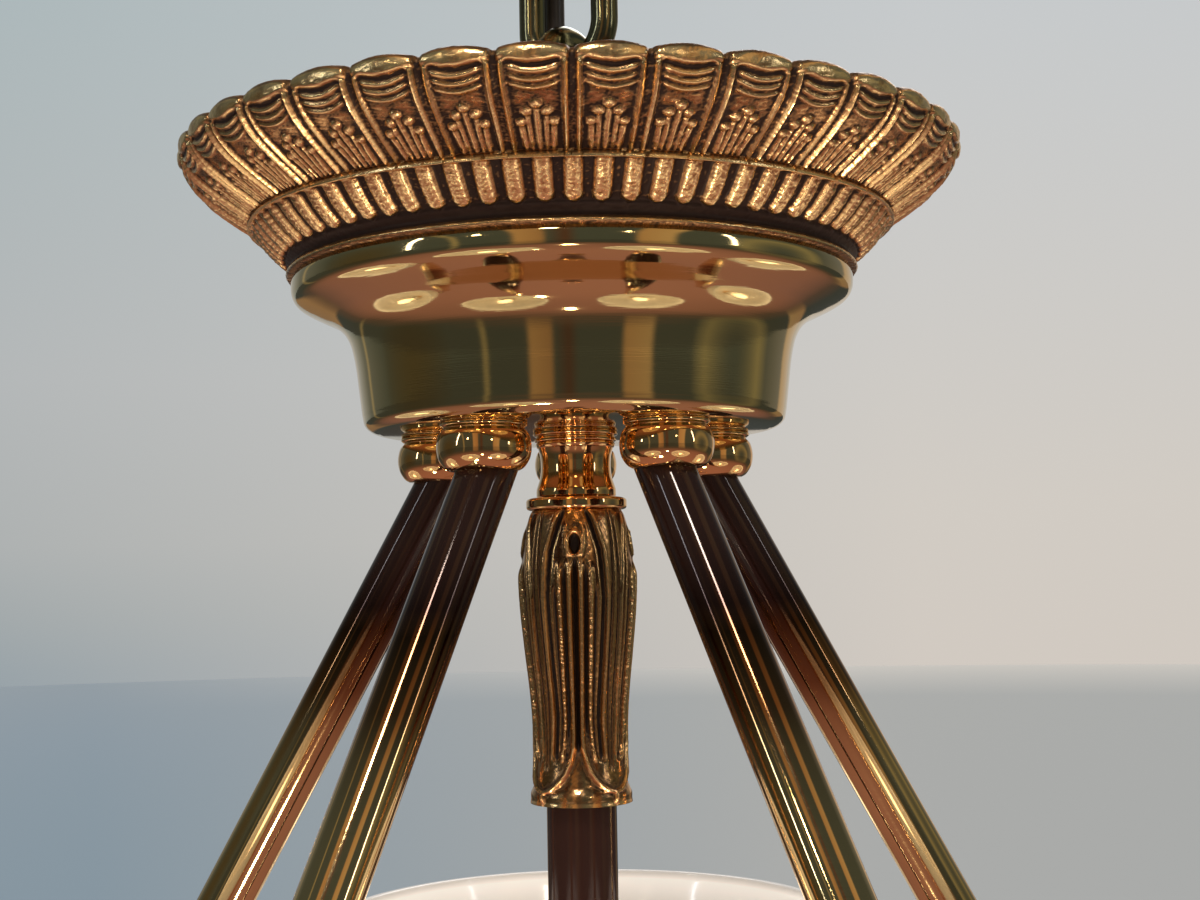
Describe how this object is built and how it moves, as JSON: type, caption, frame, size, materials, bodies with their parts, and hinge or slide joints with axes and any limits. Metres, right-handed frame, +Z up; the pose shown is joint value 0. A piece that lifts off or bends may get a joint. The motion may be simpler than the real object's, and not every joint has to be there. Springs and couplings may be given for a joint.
{
  "type": "chandelier",
  "caption": "Brass chandelier: lobed bronze crown over a spun cup, leaning tube arms with opal glass bowl shades and a central rod with a leaf sleeve, hung by hook and link from a ceiling rose.",
  "frame": {"origin": "middle of the ceiling plane, centred between the bracket's two screws", "axes": "+Z up into the ceiling, along the light's axis; the light hangs in -Z; -Y is the front that the picture shows; +X to its right"},
  "size_m": [0.8124, 0.784, 0.6092],
  "materials": {
    "cast_bronze": "dark antique patina, rubbed bright on the edges",
    "turned_brass": "polished, lacquered, with fine turning lines",
    "spun_brass": "polished, lacquered, with fine spinning lines",
    "tube_brass": "dark lacquered brass, polished",
    "chain_bronze": "dark lacquered, polished",
    "steel": "zinc plated",
    "opal_glass": "opal white, glossy",
    "bulb_glass": "satin white, glossy",
    "holder_plastic": "glazed, cream",
    "terminal_plastic": "moulded",
    "grommet_rubber": "moulded",
    "cable_sheath": "smooth sheath"
  },
  "bodies": {
    "ceiling": {"ceiling_bracket": "steel", "hook_nuts": "steel", "ceiling_rose": "turned_brass", "rose_collar": "turned_brass", "rose_grommet": "grommet_rubber", "ceiling_terminal": "terminal_plastic", "ceiling_hook": "chain_bronze"},
    "link": {"chain_link": "chain_bronze", "supply_cable_upper": "cable_sheath", "supply_cable_lower": "cable_sheath"},
    "fixture": {"hub_grommet": "grommet_rubber", "hub_terminal": "terminal_plastic", "hanging_eye": "chain_bronze", "centre_stem": "steel", "stem_nuts": "steel", "top_plate": "steel", "crown_ring": "cast_bronze", "hub_cup": "spun_brass", "neck_ring": "turned_brass", "neck_spool": "turned_brass", "bead_ring": "turned_brass", "leaf_sleeve": "cast_bronze", "centre_rod": "tube_brass", "rod_bushes": "steel", "lower_collar": "turned_brass", "lower_vase": "turned_brass", "finial": "turned_brass", "lower_stud": "steel", "ball_collars": "turned_brass", "arm_nipples": "steel", "arm_nuts": "steel", "lamp_nipples": "steel", "lamp_holders": "holder_plastic", "shade_rings": "turned_brass", "lamp_bulbs": "bulb_glass", "arm_tube_1": "tube_brass", "arm_tube_2": "tube_brass", "arm_tube_3": "tube_brass", "arm_tube_4": "tube_brass", "arm_tube_5": "tube_brass", "lamp_cup_1": "turned_brass", "lamp_cup_2": "turned_brass", "lamp_cup_3": "turned_brass", "lamp_cup_4": "turned_brass", "lamp_cup_5": "turned_brass", "glass_shade_1": "opal_glass", "glass_shade_2": "opal_glass", "glass_shade_3": "opal_glass", "glass_shade_4": "opal_glass", "glass_shade_5": "opal_glass"}
  },
  "joints": [
    {"name": "hook_swing", "type": "hinge", "parent": "ceiling", "child": "link", "pos_m": [0, 0, -0.09], "axis": [0.5736, 0.8192, 0], "range_deg": [-15, 15], "deforming": ["supply_cable_upper"]},
    {"name": "eye_swing", "type": "hinge", "parent": "link", "child": "fixture", "pos_m": [0, 0, -0.1237], "axis": [0.8192, -0.5736, 0], "range_deg": [-15, 15], "deforming": ["supply_cable_lower"]}
  ]
}
